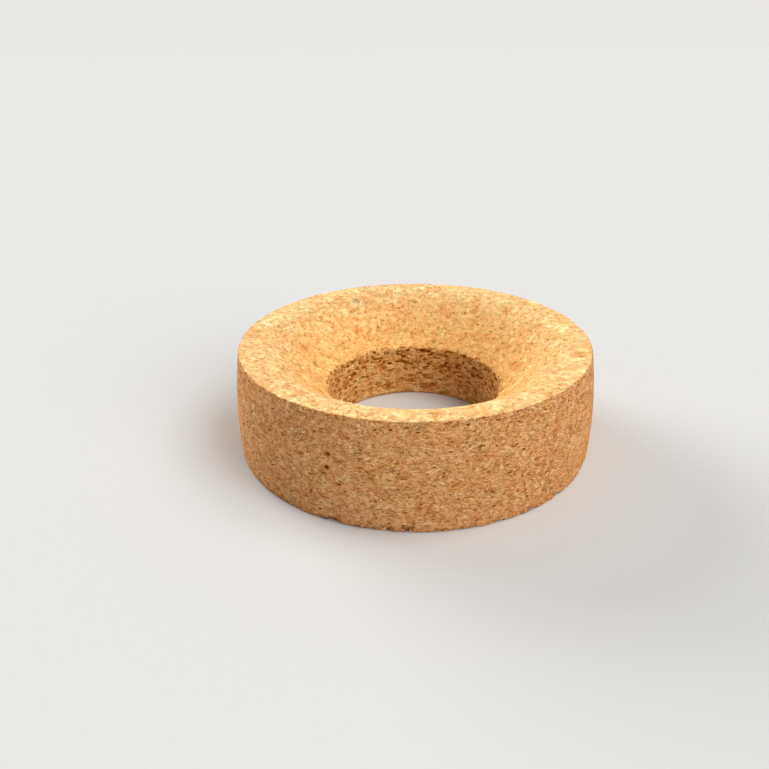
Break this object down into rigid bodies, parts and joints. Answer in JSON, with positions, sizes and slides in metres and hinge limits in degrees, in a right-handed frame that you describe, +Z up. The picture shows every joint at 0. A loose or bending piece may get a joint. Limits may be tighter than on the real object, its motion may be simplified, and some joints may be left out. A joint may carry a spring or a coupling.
{
  "type": "cork ring",
  "caption": "Low turned ring of pressed cork granules with a countersunk round seat and a straight through bore, which holds a round-bottomed flask upright on a bench.",
  "frame": {"origin": "centre of the foot, on the bench under the middle of the bore", "axes": "+Z up along the bore, out of the seat; X and Y alike, because the ring is round"},
  "size_m": [0.11, 0.11, 0.032],
  "materials": {
    "cork": "pressed cork granules, turned and sanded on the outside and the seat, cut rough in the bore"
  },
  "bodies": {
    "root": {"cork_ring": "cork"}
  },
  "joints": []
}
